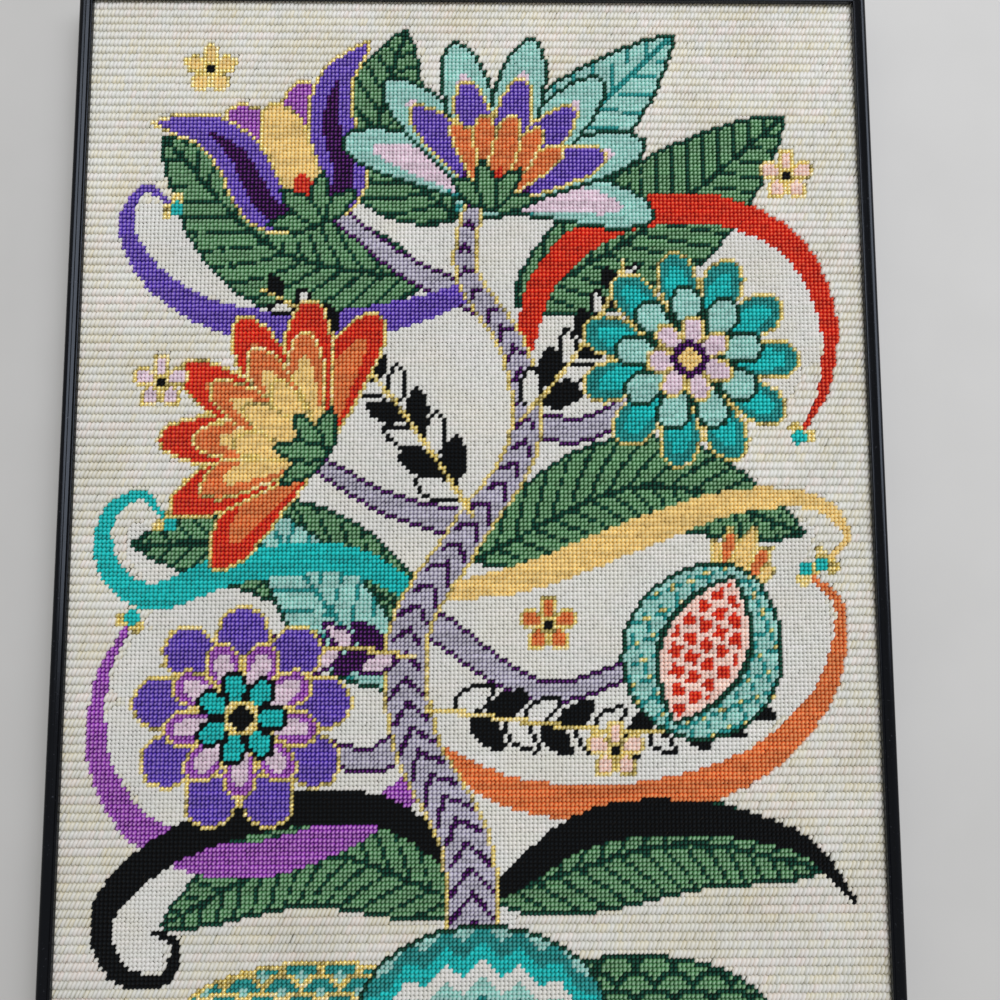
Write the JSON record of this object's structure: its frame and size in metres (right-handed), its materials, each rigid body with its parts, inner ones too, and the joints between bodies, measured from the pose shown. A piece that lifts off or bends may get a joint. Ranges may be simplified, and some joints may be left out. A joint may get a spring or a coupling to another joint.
{
  "type": "needlepoint canvas panel in a metal frame",
  "caption": "Stitched needlepoint canvas held flat in a narrow black metal frame with mitred corners, for display.",
  "frame": {"origin": "centre of the frame's back, on the surface that it lies on", "axes": "+X to the viewer's right, +Y to the top of the picture, +Z out of the stitched face"},
  "size_m": [0.3676, 0.4692, 0.02],
  "materials": {
    "needlepoint": "tent and slanting upright stitches in cotton, soft sheen",
    "frame": "glossy black"
  },
  "bodies": {
    "root": {"needlepoint_canvas": "needlepoint", "rail_top": "frame", "rail_bottom": "frame", "rail_left": "frame", "rail_right": "frame"}
  },
  "joints": []
}
